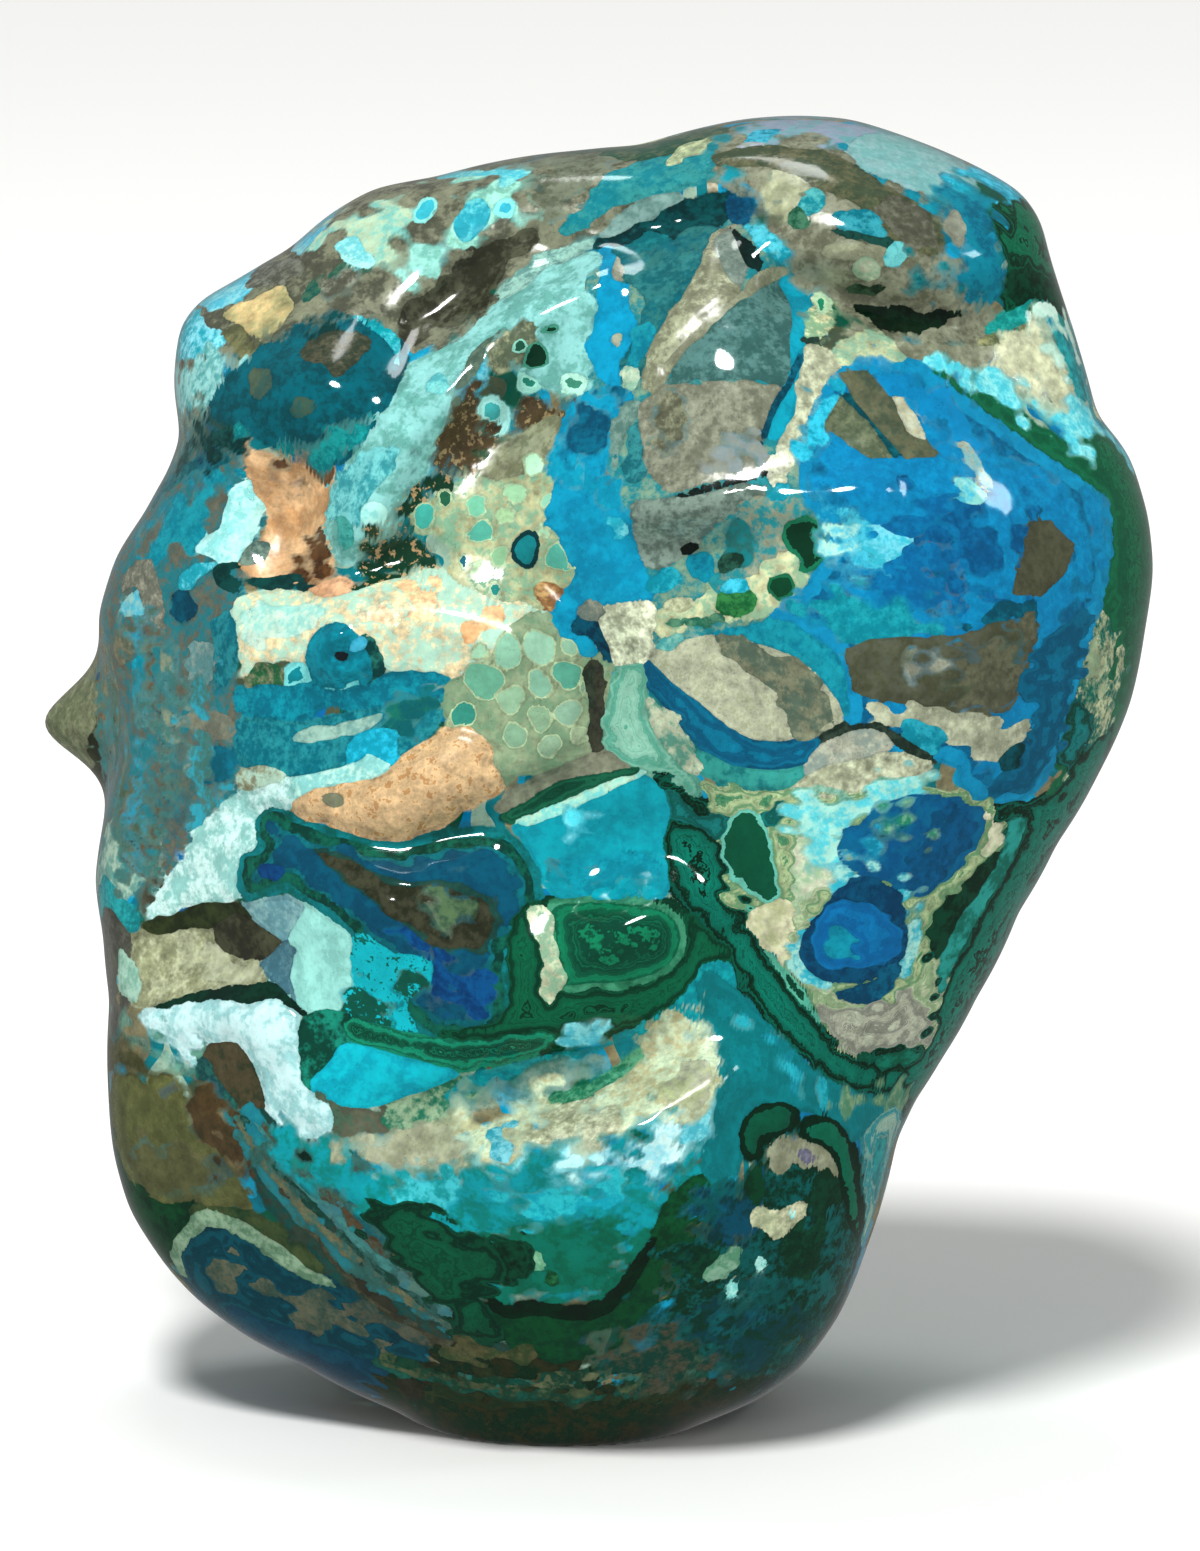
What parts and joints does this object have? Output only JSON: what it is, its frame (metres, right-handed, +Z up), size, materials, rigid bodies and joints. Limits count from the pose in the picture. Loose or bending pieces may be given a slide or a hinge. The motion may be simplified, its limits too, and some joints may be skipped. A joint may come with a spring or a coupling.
{
  "type": "chrysocolla specimen",
  "caption": "Polished freeform stone of chrysocolla and malachite, taller than wide, with a lumpy face, a spur at the left and a ground foot that it stands on.",
  "frame": {"origin": "on the ground flat of the foot, straight below the middle of the face", "axes": "+Z up from the foot, -Y out of the face that the picture shows, +X to that face's right"},
  "size_m": [0.0669, 0.0453, 0.077],
  "materials": {
    "chrysocolla": "polished"
  },
  "bodies": {
    "root": {"stone": "chrysocolla"}
  },
  "joints": []
}
